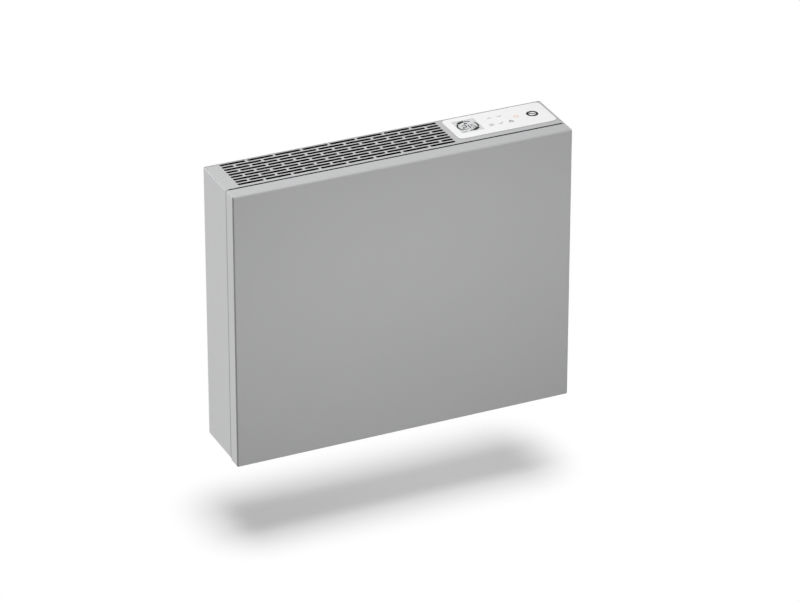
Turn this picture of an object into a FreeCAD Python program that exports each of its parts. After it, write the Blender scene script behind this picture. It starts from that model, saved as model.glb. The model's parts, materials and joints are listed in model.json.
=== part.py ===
import FreeCAD, Part
import os
import re
import Sketcher
from FreeCAD import Vector

# Wall-hung electric convector heater in folded sheet steel, in millimetres.
# X runs to the right seen from the front, Y runs back to the wall, Z runs up.
# The origin is the centre of the wall bracket's screw holes, on the wall's plane.

# Driving sizes, one sheet cell each.
SIZES = {
    # overall
    "width": 630,
    "height": 516,
    "depth": 128,
    "wall_gap": 16,
    "hang_drop": 140,
    # sheet metal
    "sheet": 1.2,
    "thin_sheet": 1.0,
    "fit_gap": 0.3,
    "close_gap": 0.1,
    "lip_width": 16,
    "tray_flange": 16,
    "tray_round": 2.0,
    "edge_round": 1.0,
    "casing_inset": 0.5,
    # front panel, its pegs and their sockets
    "panel_return": 27,
    "panel_top_round": 3.5,
    "panel_round": 2.5,
    "panel_drop": 4,
    "seam": 2.4,
    "peg_inset": 8,
    "peg_margin": 52,
    "peg_radius": 3,
    "peg_foot_radius": 6,
    "peg_foot": 1.5,
    "peg_reach": 9,
    "peg_nose": 1.2,
    "socket_wall": 1.8,
    "socket_rim": 1.6,
    "socket_rim_height": 1.2,
    "socket_neck": 7,
    # outlet and inlet grilles
    "slot_length": 47,
    "slot_width": 6.4,
    "slot_bridge": 3.6,
    "slot_columns": 8,
    "grille_left": 26.5,
    "grille_front": 41,
    "row_pitch": 9.8,
    "whole_rows": 5,
    "inlet_front": 50,
    "inlet_row_pitch": 14,
    "inlet_rows": 5,
    # heating chamber
    "control_bay": 196,
    "partition_flange": 12,
    "partition_top_trim": 48,
    "shield_side_gap": 4,
    "shield_low": 36,
    "shield_high": 114,
    "shield_gap": 20,
    "shield_foot": 10,
    "shield_sheet": 0.8,
    # heating element
    "element_height": 110,
    "element_setback": 60,
    "element_left": 46,
    "element_right_gap": 24,
    "bore_offset": 20,
    "boss_radius": 8,
    "arm_angle": 40,
    "arm_length": 36,
    "arm_thickness": 4,
    "rib_pitch": 8,
    "rib_count": 3,
    "rib_height": 5,
    "rib_thickness": 2,
    "rod_radius": 4,
    "rod_reach": 30,
    "bracket_sheet": 1.5,
    "bracket_foot": 14,
    "bracket_half": 34,
    "bracket_reach": 40,
    "bush_neck_radius": 7,
    "bush_flange_radius": 10,
    "bush_flange": 3,
    "bush_neck": 12,
    "pin_radius": 2,
    "pin_length": 6,
    "tab_width": 6.3,
    "tab_thickness": 0.8,
    "tab_length": 9,
    # thermal cut-out
    "cutout_right": 60,
    "cutout_rise": 92,
    "cutout_radius": 8,
    "cutout_depth": 9,
    "cutout_ear": 13,
    "cutout_ear_radius": 4,
    "cutout_tab_pitch": 7,
    # control plate, display and keys
    "plate_width": 186,
    "plate_depth": 79,
    "plate_side_margin": 6,
    "plate_back_margin": 5.3,
    "plate_corner": 9,
    "plate_round": 0.6,
    "plate_sink": 2,
    "plate_proud": 0.8,
    "plate_gap": 0.4,
    "window_left": 13.3,
    "window_front": 18.7,
    "window_width": 42,
    "window_depth": 46.5,
    "lens_height": 1.6,
    "lens_sink": 0.2,
    "display_margin": 3,
    "display_height": 7,
    "key_pitch": 18.5,
    "front_keys": 3,
    "back_keys": 2,
    "front_key_left": 73,
    "back_key_left": 80.5,
    "front_key_row": 28.5,
    "back_key_row": 53.5,
    "power_key_left": 128,
    "power_key_row": 41,
    "key_radius": 4.5,
    "housing_wall": 2,
    "housing_rim": 1.2,
    "housing_rim_height": 2.4,
    "housing_inset": 4,
    "housing_depth": 26,
    "board": 1.6,
    "board_gap": 1.0,
    "post_radius": 3,
    "post_inset": 7,
    # power electronics
    "power_left": 17,
    "power_top": 150,
    "power_width": 150,
    "power_height": 130,
    "standoff": 10,
    "standoff_radius": 3.5,
    "standoff_inset": 8,
    "relay_width": 29,
    "relay_height": 13,
    "relay_depth": 25,
    "capacitor_width": 32,
    "capacitor_height": 14,
    "capacitor_depth": 24,
    "coil_width": 26,
    "coil_height": 30,
    "core_height": 20,
    "core_overhang": 3,
    "coil_depth": 22,
    "sink_width": 60,
    "sink_base": 4,
    "sink_fin": 2,
    "sink_fins": 7,
    "sink_depth": 22,
    "sink_height": 40,
    "part_edge": 12,
    "part_round": 1.5,
    # mains side
    "block_left": 29,
    "block_front": 62,
    "block_pole": 16,
    "block_poles": 3,
    "block_depth": 24,
    "block_height": 17,
    "block_hole_radius": 3,
    "gland_right": 58,
    "gland_front": 76,
    "gland_bore_radius": 4.2,
    "gland_neck_radius": 8,
    "gland_rim_radius": 11,
    "gland_rim": 3,
    "gland_neck": 16,
    "gland_nut_radius": 12.5,
    "gland_nut": 5,
    "switch_rise": 92,
    "switch_front": 84,
    "switch_width": 14,
    "switch_height": 22,
    "switch_rim": 2.5,
    "switch_rim_height": 1.5,
    "switch_depth": 18,
    "switch_wall": 1.6,
    "rocker_pivot": 2,
    "rocker_tilt": 8,
    "rocker_end": 4.6,
    "rocker_waist": 3.4,
    "rocker_back": 4,
    "rocker_taper": 2.6,
    "rocker_swing_gap": 0.9,
    "cavity_depth": 9,
    # air sensor and lead grommet
    "sensor_left": 14,
    "sensor_front": 60,
    "sensor_radius": 2.5,
    "sensor_length": 16,
    "clip_wall": 2,
    "clip_height": 10,
    "clip_foot": 2,
    "clip_foot_radius": 8,
    "grommet_rise": 190,
    "grommet_bore_radius": 4,
    "grommet_groove_radius": 6,
    "grommet_rim_radius": 8.5,
    "grommet_rim": 2.2,
    # wall fixing
    "bracket_width": 380,
    "bracket_height": 110,
    "wall_sheet": 2,
    "screw_spacing_x": 300,
    "screw_spacing_z": 70,
    "wall_hole_radius": 3.5,
    "hook_spacing": 320,
    "hook_width": 24,
    "hook_lip": 11,
    "hook_gap": 0.5,
    "hook_slot_height": 16,
    "hook_slot_margin": 4,
    "spacer_spacing": 480,
    "spacer_rise": 36,
    "spacer_radius": 8,
    "spacer_foot_radius": 12,
    "spacer_foot": 3,
    # casing screws
    "screw_rows": 4,
    "screw_margin": 50,
    "screw_radius": 1.6,
    "screw_head_radius": 3.6,
    "screw_head": 2,
    "screw_length": 5,
}

# Places worked out from the sizes, each named once.
PLACES = {
    "front_y": "-(wall_gap + depth)",
    "back_y": "-wall_gap",
    "panel_rear_y": "front_y + panel_return",
    "panel_inner_y": "front_y + sheet",
    "casing_front_y": "panel_rear_y + seam",
    "lip_inner_y": "casing_front_y + sheet",
    "back_face_y": "back_y - sheet",
    "back_inner_y": "back_face_y - thin_sheet",
    "top_z": "hang_drop",
    "panel_low_z": "top_z - height",
    "casing_low_z": "panel_low_z + panel_drop",
    "ceiling_z": "top_z - sheet",
    "floor_z": "casing_low_z + sheet",
    "casing_half": "width / 2 - casing_inset",
    "tray_half": "casing_half - sheet - fit_gap",
    "inner_half": "tray_half - sheet - fit_gap",
    "peg_half": "casing_half - peg_inset",
    "peg_low_z": "panel_low_z + peg_margin",
    "socket_radius": "peg_radius + fit_gap + socket_wall",
    "slot_pitch": "slot_length + slot_bridge",
    "first_slot_x": "-width / 2 + grille_left",
    "partition_x": "width / 2 - control_bay",
    "cover_y": "lip_inner_y",
    "bay_front_y": "cover_y + thin_sheet",
    "shield_left_x": "-casing_half + lip_width + shield_side_gap",
    "shield_right_x": "partition_x - shield_side_gap",
    "shield_low_z": "floor_z + shield_low",
    "shield_high_z": "ceiling_z - shield_high",
    "shield_rear_y": "back_inner_y - shield_gap",
    "shield_y": "shield_rear_y - shield_sheet",
    "element_x": "-casing_half + element_left",
    "element_end_x": "partition_x - element_right_gap",
    "element_y": "back_inner_y - element_setback",
    "element_z": "casing_low_z + element_height",
    "rod_end_x": "partition_x + sheet + rod_reach",
    "plate_right_x": "width / 2 - plate_side_margin",
    "plate_left_x": "plate_right_x - plate_width",
    "plate_back_y": "back_y - plate_back_margin",
    "plate_front_y": "plate_back_y - plate_depth",
    "plate_seat_z": "top_z - plate_sink",
    "plate_top_z": "top_z + plate_proud",
    "window_left_x": "plate_left_x + window_left",
    "window_front_y": "plate_front_y + window_front",
    "lens_top_z": "plate_top_z - lens_sink",
    "lens_low_z": "lens_top_z - lens_height",
    "board_top_z": "lens_low_z - display_height",
    "board_low_z": "board_top_z - board",
    "housing_low_z": "ceiling_z - housing_depth",
    "power_left_x": "partition_x + power_left",
    "power_right_x": "power_left_x + power_width",
    "power_top_z": "top_z - power_top",
    "power_low_z": "power_top_z - power_height",
    "power_rear_y": "back_inner_y - standoff",
    "power_face_y": "power_rear_y - board",
    "gland_x": "casing_half - gland_right",
    "gland_y": "front_y + gland_front",
    "switch_z": "casing_low_z + switch_rise",
    "switch_y": "front_y + switch_front",
    "pivot_x": "casing_half - rocker_pivot",
    "hook_top_z": "bracket_height / 2",
    "hook_tip_y": "back_inner_y - hook_gap - wall_sheet",
    "screw_half": "casing_half - lip_width / 2",
    "screw_low_z": "casing_low_z + tray_flange + screw_margin",
    "screw_pitch": "(height - panel_drop - 2 * (tray_flange + screw_margin)) / (screw_rows - 1)",
    "screw_hole_radius": "screw_radius + close_gap",
}

PLANE_AXIS = {"XY": "z", "XZ": "y", "YZ": "x"}

doc = FreeCAD.newDocument("convector_heater")
dims = doc.addObject("Spreadsheet::Sheet", "dims")
pieces = []


def fill_sheet():
    for row, (alias, number) in enumerate(SIZES.items(), start=1):
        dims.set(f"A{row}", alias)
        dims.set(f"B{row}", str(number))
        dims.setAlias(f"B{row}", alias)
    doc.recompute()


def expression(text):
    """A formula in plain names, rewritten with references to the sheet."""
    def resolve(match):
        word = match.group(0)
        if word in PLACES:
            return "(" + expression(PLACES[word]) + ")"
        return "dims." + word if word in SIZES else word
    return re.sub(r"[a-z_]+[a-z]", resolve, str(text))


def value(text):
    return float(dims.evalExpression(expression(text)))


def bind(thing, prop, text):
    thing.setExpression(prop, expression(text))


# Outlines. Each returns a function that draws itself, fully dimensioned, in a sketch.

def hold_point(sketch, geometry, point, x, y):
    for kind, text in (("DistanceX", x), ("DistanceY", y)):
        number = sketch.addConstraint(Sketcher.Constraint(kind, -1, 1, geometry, point, value(text)))
        bind(sketch, f"Constraints[{number}]", text)


def hold_radius(sketch, geometry, radius):
    number = sketch.addConstraint(Sketcher.Constraint("Radius", geometry, value(radius)))
    bind(sketch, f"Constraints[{number}]", radius)


def polygon(*corners):
    def draw(sketch):
        spots = [Vector(value(x), value(y), 0) for x, y in corners]
        lines = [sketch.addGeometry(Part.LineSegment(spots[i - 1], spots[i])) for i in range(len(spots))]
        for i, line in enumerate(lines):
            sketch.addConstraint(Sketcher.Constraint("Coincident", lines[i - 1], 2, line, 1))
        for line, (x, y) in zip(lines, corners):
            hold_point(sketch, line, 2, x, y)
    return draw


def rectangle(left, right, low, high):
    return polygon((left, low), (right, low), (right, high), (left, high))


def circle(x, y, radius):
    def draw(sketch):
        ring = sketch.addGeometry(Part.Circle(Vector(value(x), value(y), 0), Vector(0, 0, 1), value(radius)))
        hold_point(sketch, ring, 3, x, y)
        hold_radius(sketch, ring, radius)
    return draw


def round_hull(radius, *centres):
    """Straight sides tangent to equal arcs, with the arcs' centres given anticlockwise."""
    def draw(sketch):
        spots = [Vector(value(x), value(y), 0) for x, y in centres]
        reach = value(radius)
        count = len(spots)
        sides, arcs = [], []
        for i, spot in enumerate(spots):
            along = (spots[(i + 1) % count] - spot).normalize()
            out = Vector(along.y, -along.x, 0) * reach
            sides.append(sketch.addGeometry(Part.LineSegment(spot + out, spots[(i + 1) % count] + out)))
        for i, spot in enumerate(spots):
            before = (spot - spots[i - 1]).normalize()
            after = (spots[(i + 1) % count] - spot).normalize()
            start = Vector(before.y, -before.x, 0) * reach
            end = Vector(after.y, -after.x, 0) * reach
            middle = (start + end if count > 2 else before * reach).normalize() * reach
            arc = Part.Arc(spot + start, spot + middle, spot + end).toShape().Curve
            first, last = arc.parameter(spot + start), arc.parameter(spot + end)
            arcs.append(sketch.addGeometry(Part.ArcOfCircle(arc, first, last)))
        for i, arc in enumerate(arcs):
            sketch.addConstraint(Sketcher.Constraint("Tangent", sides[i - 1], 2, arc, 1))
            sketch.addConstraint(Sketcher.Constraint("Tangent", arc, 2, sides[i], 1))
            hold_point(sketch, arc, 3, *centres[i])
            hold_radius(sketch, arc, radius)
    return draw


def slot(left, right, middle, breadth):
    radius = f"({breadth}) / 2"
    return round_hull(radius, (f"({left}) + {radius}", middle), (f"({right}) - {radius}", middle))


def rounded_rectangle(left, right, low, high, radius):
    near, far = f"({left}) + ({radius})", f"({right}) - ({radius})"
    under, over = f"({low}) + ({radius})", f"({high}) - ({radius})"
    return round_hull(radius, (near, under), (far, under), (far, over), (near, over))


# Features.

def new_body(label, x="0", y="0", z="0", many=False):
    body = doc.addObject("PartDesign::Body", label)
    body.Label = label
    body.AllowCompound = many
    for axis, text in zip("xyz", (x, y, z)):
        bind(body, f"Placement.Base.{axis}", text)
    pieces.append(body)
    return body


def datum(body, role):
    return next(part for part in body.Origin.OriginFeatures if part.Role == role)


def add_sketch(body, plane, offset, shapes):
    sketch = body.newObject("Sketcher::SketchObject", "Sketch")
    sketch.AttachmentSupport = [(datum(body, plane + "_Plane"), "")]
    sketch.MapMode = "FlatFace"
    bind(sketch, "AttachmentOffset.Base.z", offset)
    for draw in shapes:
        draw(sketch)
    return sketch


def pad(body, plane, start, end, *shapes):
    """Material from start to end along the plane's normal axis."""
    offset = f"-({end})" if plane == "XZ" else start
    sketch = add_sketch(body, plane, offset, shapes)
    feature = body.newObject("PartDesign::Pad", "Pad")
    feature.Profile = sketch
    bind(feature, "Length", f"({end}) - ({start})")
    doc.recompute()
    return feature


def pocket(body, plane, start, end, *shapes):
    """A cut from start to end along the plane's normal axis."""
    before = body.Shape.Volume
    offset = f"-({start})" if plane == "XZ" else end
    sketch = add_sketch(body, plane, offset, shapes)
    feature = body.newObject("PartDesign::Pocket", "Pocket")
    feature.Profile = sketch
    bind(feature, "Length", f"({end}) - ({start})")
    doc.recompute()
    if body.Shape.Volume >= before:
        raise RuntimeError(f"a pocket in {body.Label} cuts nothing")
    return feature


def turn(body, axis, *profile):
    """A turned form about one of the body's axes, from (radius, distance along the axis) pairs."""
    plane, flipped = {"X": ("XY", True), "Y": ("XY", False), "Z": ("XZ", False)}[axis]
    corners = [(along, radius) if flipped else (radius, along) for radius, along in profile]
    sketch = add_sketch(body, plane, "0", [polygon(*corners)])
    feature = body.newObject("PartDesign::Revolution", "Revolution")
    feature.Profile = sketch
    feature.ReferenceAxis = (datum(body, axis + "_Axis"), [""])
    feature.Angle = 360
    doc.recompute()
    return feature


def repeat(body, features, *runs):
    """Copies of features along one or two axes, each run an (axis, pitch, count)."""
    pattern = body.newObject("PartDesign::LinearPattern", "Pattern")
    pattern.Originals = features
    pattern.Spacings2 = [-1.0]
    for suffix, (axis, pitch, count) in zip(("", "2"), runs):
        setattr(pattern, "Direction" + suffix, (datum(body, axis + "_Axis"), [""]))
        setattr(pattern, "Mode" + suffix, "Spacing")
        bind(pattern, "Offset" + suffix, pitch)
        bind(pattern, "Occurrences" + suffix, count)
    body.Tip = pattern
    doc.recompute()
    return pattern


def round_edges(body, radius, chosen):
    """A fillet on the edges of the body's tip that the test picks."""
    base = body.Tip
    names = [f"Edge{i}" for i, edge in enumerate(base.Shape.Edges, start=1) if chosen(edge)]
    if not names:
        raise RuntimeError(f"no edge to round on {body.Label}")
    feature = body.newObject("PartDesign::Fillet", "Fillet")
    feature.Base = (base, names)
    bind(feature, "Radius", radius)
    doc.recompute()
    return feature


def lies_at(**places):
    """A test for edges that lie in the planes given, such as x="casing_half"."""
    wanted = [(axis.upper(), value(text)) for axis, text in places.items()]

    def test(edge):
        box = edge.BoundBox
        return all(abs(getattr(box, axis + end) - number) < 0.01
                   for axis, number in wanted for end in ("Min", "Max"))
    return test


def any_of(*tests):
    return lambda edge: any(test(edge) for test in tests)


def both_sides(text):
    return f"-({text})", text


# Casing.

def round_tray(body, front, half, low, high, top_round, side_round):
    """The top bend of a tray first, then its sides and foot as one chain."""
    left, right = both_sides(half)
    round_edges(body, top_round, lies_at(y=front, z=high))
    rear = lies_at(y="panel_rear_y")
    sides = any_of(lies_at(x=left), lies_at(x=right), lies_at(y=front, z=low))
    round_edges(body, side_round, lambda edge: sides(edge) and not rear(edge))


def front_panel():
    """A folded tray, open to the rear, with a wide bend along its top."""
    body = new_body("front_panel")
    outer = ("width / 2", "panel_low_z", "top_z")
    inner = ("width / 2 - sheet", "panel_low_z + sheet", "top_z - sheet")
    pad(body, "XZ", "front_y", "panel_rear_y", rectangle(*both_sides(outer[0]), *outer[1:]))
    pocket(body, "XZ", "panel_inner_y", "panel_rear_y", rectangle(*both_sides(inner[0]), *inner[1:]))
    round_tray(body, "panel_inner_y", *inner, "panel_top_round - sheet", "panel_round - sheet")
    round_tray(body, "front_y", *outer, "panel_top_round", "panel_round")


def panel_pegs():
    body = new_body("panel_pegs", "-peg_half", "panel_inner_y", "peg_low_z", many=True)
    length = "casing_front_y - panel_inner_y + peg_reach"
    peg = turn(body, "Y", ("0", "0"), ("peg_foot_radius", "0"), ("peg_foot_radius", "peg_foot"),
               ("peg_radius", "peg_foot"), ("peg_radius", f"{length} - peg_nose"),
               ("peg_radius - peg_nose", length), ("0", length))
    repeat(body, [peg], ("X", "2 * peg_half", "2"), ("Z", "height - 2 * peg_margin", "2"))


def panel_sockets():
    body = new_body("panel_sockets", "-peg_half", "casing_front_y", "peg_low_z", many=True)
    bore = "peg_radius + fit_gap"
    rim = "socket_radius + socket_rim"
    socket = turn(body, "Y", (bore, "-socket_rim_height"), (rim, "-socket_rim_height"), (rim, "0"),
                  ("socket_radius", "0"), ("socket_radius", "socket_neck"), (bore, "socket_neck"))
    repeat(body, [socket], ("X", "2 * peg_half", "2"), ("Z", "height - 2 * peg_margin", "2"))


def side_panel(label, side):
    """A folded side: web, front lip with peg holes, rear lip with screw holes."""
    body = new_body(label)
    outer, inner, tip = (f"{side} * ({text})" for text in ("casing_half", "casing_half - sheet",
                                                          "casing_half - lip_width"))
    web = sorted((outer, inner), key=value)
    lip = sorted((outer, tip), key=value)
    lip_low, lip_high = "casing_low_z + tray_flange + fit_gap", "top_z - tray_flange - fit_gap"
    pad(body, "YZ", *web, rectangle("casing_front_y", "back_y", "casing_low_z", "top_z - edge_round"))
    pad(body, "XZ", "casing_front_y", "lip_inner_y", rectangle(*lip, lip_low, lip_high))
    pad(body, "XZ", "back_face_y", "back_y", rectangle(*lip, lip_low, lip_high))
    bends = any_of(lies_at(x=outer, y="casing_front_y"), lies_at(x=outer, y="back_y"))
    round_edges(body, "edge_round", bends)
    pegs = pocket(body, "XZ", "casing_front_y", "lip_inner_y",
                  circle(f"{side} * peg_half", "peg_low_z", "socket_radius + close_gap"))
    repeat(body, [pegs], ("Z", "height - 2 * peg_margin", "2"))
    screws = pocket(body, "XZ", "back_face_y", "back_y",
                    circle(f"{side} * screw_half", "screw_low_z", "screw_hole_radius"))
    repeat(body, [screws], ("Z", "screw_pitch", "screw_rows"))
    return body


def side_panels():
    side_panel("side_panel_left", -1)
    right = side_panel("side_panel_right", 1)
    pocket(right, "YZ", "casing_half - sheet", "casing_half",
           rectangle("switch_y - switch_width / 2 - close_gap", "switch_y + switch_width / 2 + close_gap",
                     "switch_z - switch_height / 2 - close_gap", "switch_z + switch_height / 2 + close_gap"))


def tray(label, low, high, face, inside):
    """A folded sheet between the sides, with its flanges turned into the casing."""
    body = new_body(label)
    left, right = both_sides("tray_half")
    pad(body, "XY", low, high, rectangle(left, right, "casing_front_y", "back_y"))
    round_edges(body, "tray_round", lies_at(z=face))
    left, right = both_sides("tray_half - sheet")
    pocket(body, "XY", *inside, rectangle(left, right, "lip_inner_y", "back_face_y"))
    return body


def top_grille():
    """Slots in running bond, with half slots at both ends of every other row, and the plate's cut-out."""
    body = tray("top_grille", "top_z - tray_flange", "top_z", "top_z", ("top_z - tray_flange", "ceiling_z"))
    cut = ("ceiling_z", "top_z")
    row = "front_y + grille_front"
    between = f"{row} + row_pitch"
    last = "first_slot_x + slot_columns * slot_pitch - slot_bridge"
    half = "(slot_length - slot_bridge) / 2"
    whole = pocket(body, "XY", *cut, slot("first_slot_x", "first_slot_x + slot_length", row, "slot_width"))
    repeat(body, [whole], ("X", "slot_pitch", "slot_columns"), ("Y", "2 * row_pitch", "whole_rows"))
    start = "first_slot_x + slot_pitch / 2"
    shifted = pocket(body, "XY", *cut, slot(start, f"{start} + slot_length", between, "slot_width"))
    repeat(body, [shifted], ("X", "slot_pitch", "slot_columns - 1"), ("Y", "2 * row_pitch", "whole_rows - 1"))
    ends = pocket(body, "XY", *cut, slot("first_slot_x", f"first_slot_x + {half}", between, "slot_width"),
                  slot(f"{last} - {half}", last, between, "slot_width"))
    repeat(body, [ends], ("Y", "2 * row_pitch", "whole_rows - 1"))
    pocket(body, "XY", *cut, rounded_rectangle(
        "plate_left_x - plate_gap", "plate_right_x + plate_gap",
        "plate_front_y - plate_gap", "plate_back_y + plate_gap", "plate_corner + plate_gap"))


def bottom_grille():
    high = "casing_low_z + tray_flange"
    body = tray("bottom_grille", "casing_low_z", high, "casing_low_z", ("floor_z", high))
    inlet = pocket(body, "XY", "casing_low_z", "floor_z",
                   slot("first_slot_x", "first_slot_x + slot_length", "front_y + inlet_front", "slot_width"))
    repeat(body, [inlet], ("X", "slot_pitch", "slot_columns"), ("Y", "inlet_row_pitch", "inlet_rows"))
    pocket(body, "XY", "casing_low_z", "floor_z",
           circle("gland_x", "gland_y", "gland_neck_radius + close_gap"))


def back_panel():
    body = new_body("back_panel")
    left, right = both_sides("inner_half")
    pad(body, "XZ", "back_inner_y", "back_face_y",
        rectangle(left, right, "floor_z + fit_gap", "ceiling_z - fit_gap"))
    hook_left = "-hook_spacing / 2 - hook_width / 2 - hook_slot_margin"
    hook = pocket(body, "XZ", "back_inner_y", "back_face_y",
                  rectangle(hook_left, f"{hook_left} + hook_width + 2 * hook_slot_margin",
                            "hook_top_z - hook_slot_height", "hook_top_z"))
    repeat(body, [hook], ("X", "hook_spacing", "2"))
    screw = pocket(body, "XZ", "back_inner_y", "back_face_y",
                   circle("-screw_half", "screw_low_z", "screw_hole_radius"))
    repeat(body, [screw], ("X", "2 * screw_half", "2"), ("Z", "screw_pitch", "screw_rows"))


def casing_screws():
    body = new_body("casing_screws", "-screw_half", "back_y", "screw_low_z", many=True)
    screw = turn(body, "Y", ("0", "-screw_length"), ("screw_radius", "-screw_length"), ("screw_radius", "0"),
                 ("screw_head_radius", "0"), ("screw_head_radius", "screw_head / 2"),
                 ("screw_head_radius - screw_head / 2", "screw_head"), ("0", "screw_head"))
    repeat(body, [screw], ("X", "2 * screw_half", "2"), ("Z", "screw_pitch", "screw_rows"))


# Heating chamber.

def partition_wall():
    body = new_body("partition_wall")
    edge = "partition_x + partition_flange"
    high = "ceiling_z - partition_top_trim"
    pad(body, "YZ", "partition_x", "partition_x + sheet",
        rectangle("bay_front_y", "back_inner_y", "floor_z", "ceiling_z"))
    pad(body, "XZ", "bay_front_y", "bay_front_y + sheet", rectangle("partition_x", edge, "floor_z", high))
    pad(body, "XZ", "back_inner_y - sheet", "back_inner_y", rectangle("partition_x", edge, "floor_z", high))
    through = ("partition_x", "partition_x + sheet")
    bush = pocket(body, "YZ", *through,
                  circle("element_y", "element_z - bore_offset", "bush_neck_radius + close_gap"))
    repeat(body, [bush], ("Z", "2 * bore_offset", "2"))
    pocket(body, "YZ", *through,
           circle("element_y", "casing_low_z + grommet_rise", "grommet_groove_radius + close_gap"))


def heat_shield():
    """A hat section, its feet on the back panel."""
    body = new_body("heat_shield")
    low, high, gauge = "shield_low_z", "shield_high_z", "shield_sheet"
    foot_y = f"back_inner_y - {gauge}"
    pad(body, "YZ", "shield_left_x", "shield_right_x", polygon(
        ("back_inner_y", f"{low} - shield_foot"), ("back_inner_y", f"{low} + {gauge}"),
        ("shield_rear_y", f"{low} + {gauge}"), ("shield_rear_y", f"{high} - {gauge}"),
        ("back_inner_y", f"{high} - {gauge}"), ("back_inner_y", f"{high} + shield_foot"),
        (foot_y, f"{high} + shield_foot"), (foot_y, high), ("shield_y", high), ("shield_y", low),
        (foot_y, low), (foot_y, f"{low} - shield_foot")))


def element_brackets():
    """Angles on the heat shield that carry the rod at both ends of the element."""
    ends = (("element_bracket_left", "element_x - close_gap", -1),
            ("element_bracket_right", "element_end_x + close_gap", 1))
    for label, face, side in ends:
        body = new_body(label, face)
        web = sorted(("0", f"{side} * bracket_sheet"), key=value)
        foot = sorted(("0", f"{side} * bracket_foot"), key=value)
        low, high = "element_z - bracket_half", "element_z + bracket_half"
        pad(body, "YZ", *web, rectangle("shield_y - bracket_reach", "shield_y", low, high))
        pad(body, "XZ", "shield_y - bracket_sheet", "shield_y", rectangle(*foot, low, high))
        rods = pocket(body, "YZ", *web,
                      circle("element_y", "element_z - bore_offset", "rod_radius + close_gap"))
        repeat(body, [rods], ("Z", "2 * bore_offset", "2"))


def rib_comb():
    """An arm of the element with ribs across it, from the boss outwards."""
    half = "arm_thickness / 2"
    lower = [("0", f"-{half}")]
    for i in range(int(value("rib_count"))):
        outer = f"arm_length - {i} * rib_pitch"
        inner = f"{outer} - rib_thickness"
        lower[1:1] = [(inner, f"-{half}"), (inner, f"-{half} - rib_height"),
                      (outer, f"-{half} - rib_height")] + ([(outer, f"-{half}")] if i else [])
    upper = [(u, v.replace("-", "")) if "- rib" not in v else (u, f"{half} + rib_height")
             for u, v in reversed(lower)]
    return polygon(*lower, *upper)


def heating_element():
    """An extrusion with two rod bores and four ribbed arms in an X."""
    body = new_body("heating_element", "element_x", "element_y", "element_z")
    length = "element_end_x - element_x"
    pad(body, "YZ", "0", length, round_hull("boss_radius", ("0", "-bore_offset"), ("0", "bore_offset")))
    arms = ((1, "arm_angle"), (1, "180 - arm_angle"), (-1, "180 + arm_angle"), (-1, "360 - arm_angle"))
    for height, turned in arms:
        arm = pad(body, "YZ", "0", length, rib_comb())
        sketch = arm.Profile[0]
        sketch.AttachmentOffset = FreeCAD.Placement(Vector(), FreeCAD.Rotation(Vector(0, 0, 1), 1))
        bind(sketch, "AttachmentOffset.Rotation.Angle", turned)
        bind(sketch, "AttachmentOffset.Base.y", f"{height} * bore_offset")
        doc.recompute()
    bore = pocket(body, "YZ", "0", length, circle("0", "-bore_offset", "rod_radius + close_gap"))
    repeat(body, [bore], ("Z", "2 * bore_offset", "2"))


def element_rod():
    """A hairpin rod: two straight legs and a half turn past the left bracket."""
    body = new_body("element_rod", "element_x - close_gap - bracket_foot", "element_y", "element_z")
    leg = "rod_end_x - (element_x - close_gap - bracket_foot)"

    def hairpin(sketch):
        low = sketch.addGeometry(Part.LineSegment(
            Vector(value(leg), -value("bore_offset"), 0), Vector(0, -value("bore_offset"), 0)))
        bend = sketch.addGeometry(Part.ArcOfCircle(
            Part.Circle(Vector(), Vector(0, 0, 1), value("bore_offset")), 1.5707963, 4.7123890))
        high = sketch.addGeometry(Part.LineSegment(
            Vector(0, value("bore_offset"), 0), Vector(value(leg), value("bore_offset"), 0)))
        sketch.addConstraint(Sketcher.Constraint("Coincident", bend, 3, -1, 1))
        sketch.addConstraint(Sketcher.Constraint("Tangent", low, 2, bend, 2))
        sketch.addConstraint(Sketcher.Constraint("Tangent", bend, 1, high, 1))
        hold_point(sketch, low, 1, leg, "-bore_offset")
        hold_point(sketch, high, 2, leg, "bore_offset")
    spine = add_sketch(body, "XZ", "0", [hairpin])
    section = add_sketch(body, "YZ", leg, [circle("0", "-bore_offset", "rod_radius")])
    pipe = body.newObject("PartDesign::AdditivePipe", "Pipe")
    pipe.Profile = section
    pipe.Spine = spine
    doc.recompute()


def element_bushes():
    body = new_body("element_bushes", "partition_x", "element_y", "element_z - bore_offset", many=True)
    bore = "rod_radius + close_gap"
    bush = turn(body, "X", (bore, "-bush_flange"), ("bush_flange_radius", "-bush_flange"),
                ("bush_flange_radius", "0"), ("bush_neck_radius", "0"), ("bush_neck_radius", "bush_neck"),
                (bore, "bush_neck"))
    repeat(body, [bush], ("Z", "2 * bore_offset", "2"))


def element_terminals():
    body = new_body("element_terminals", "rod_end_x", "element_y", "element_z - bore_offset", many=True)
    pin = pad(body, "YZ", "0", "pin_length", circle("0", "0", "pin_radius"))
    tab = pad(body, "YZ", "pin_length", "pin_length + tab_length",
              rectangle("-tab_width / 2", "tab_width / 2", "-tab_thickness / 2", "tab_thickness / 2"))
    repeat(body, [pin, tab], ("Z", "2 * bore_offset", "2"))


def thermal_cutout():
    body = new_body("thermal_cutout", "partition_x - cutout_right", "shield_y", "element_z + cutout_rise")
    pad(body, "XZ", "-tab_thickness", "0",
        round_hull("cutout_ear_radius", ("-cutout_ear", "0"), ("cutout_ear", "0")))
    pad(body, "XZ", "-cutout_depth", "-tab_thickness", circle("0", "0", "cutout_radius"))
    for side in (-1, 1):
        spade = sorted((f"{side} * (cutout_tab_pitch - tab_thickness) / 2",
                        f"{side} * (cutout_tab_pitch + tab_thickness) / 2"), key=value)
        pad(body, "XZ", "-cutout_depth - tab_length", "-cutout_depth",
            rectangle(*spade, "-tab_width / 2", "tab_width / 2"))


# Control unit.

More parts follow.
